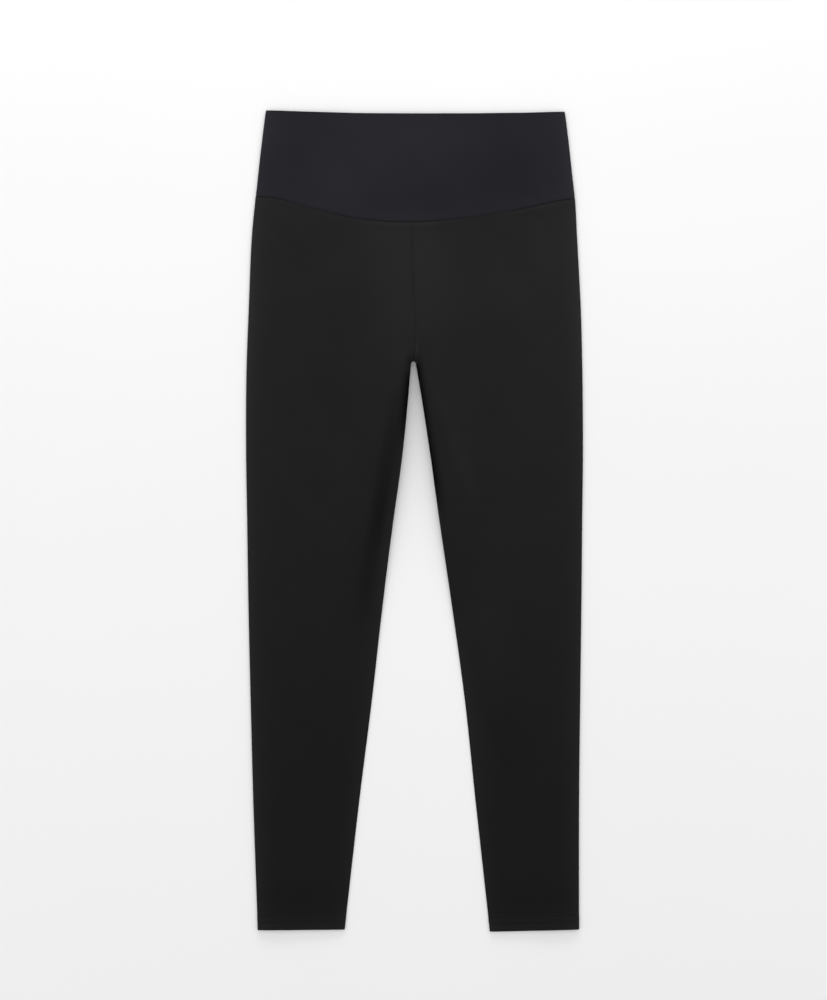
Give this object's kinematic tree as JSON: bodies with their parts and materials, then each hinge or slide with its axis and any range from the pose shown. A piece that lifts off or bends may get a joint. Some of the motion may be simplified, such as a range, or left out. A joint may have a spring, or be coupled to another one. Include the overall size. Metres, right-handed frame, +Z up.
{
  "type": "leggings",
  "caption": "High-waisted full-length leggings in plain black knit, laid flat with the front up; wide waistband whose seam dips at the front.",
  "frame": {"origin": "on the surface that the garment lies on, under the middle of its outline", "axes": "+Z up from the surface, +Y from the hems to the waist, +X towards the wearer's left leg, which is on the right seen from above"},
  "size_m": [0.3705, 0.9032, 0.0146],
  "materials": {
    "leg_knit": "black matt stretch jersey with a faint soft sheen",
    "waistband_knit": "black matt stretch jersey, doubled, with a faint soft sheen",
    "sewing_thread": "black polyester sewing thread"
  },
  "bodies": {
    "root": {"waistband_front": "waistband_knit", "waistband_back": "waistband_knit", "leg_right": "leg_knit", "leg_left": "leg_knit"}
  },
  "joints": []
}
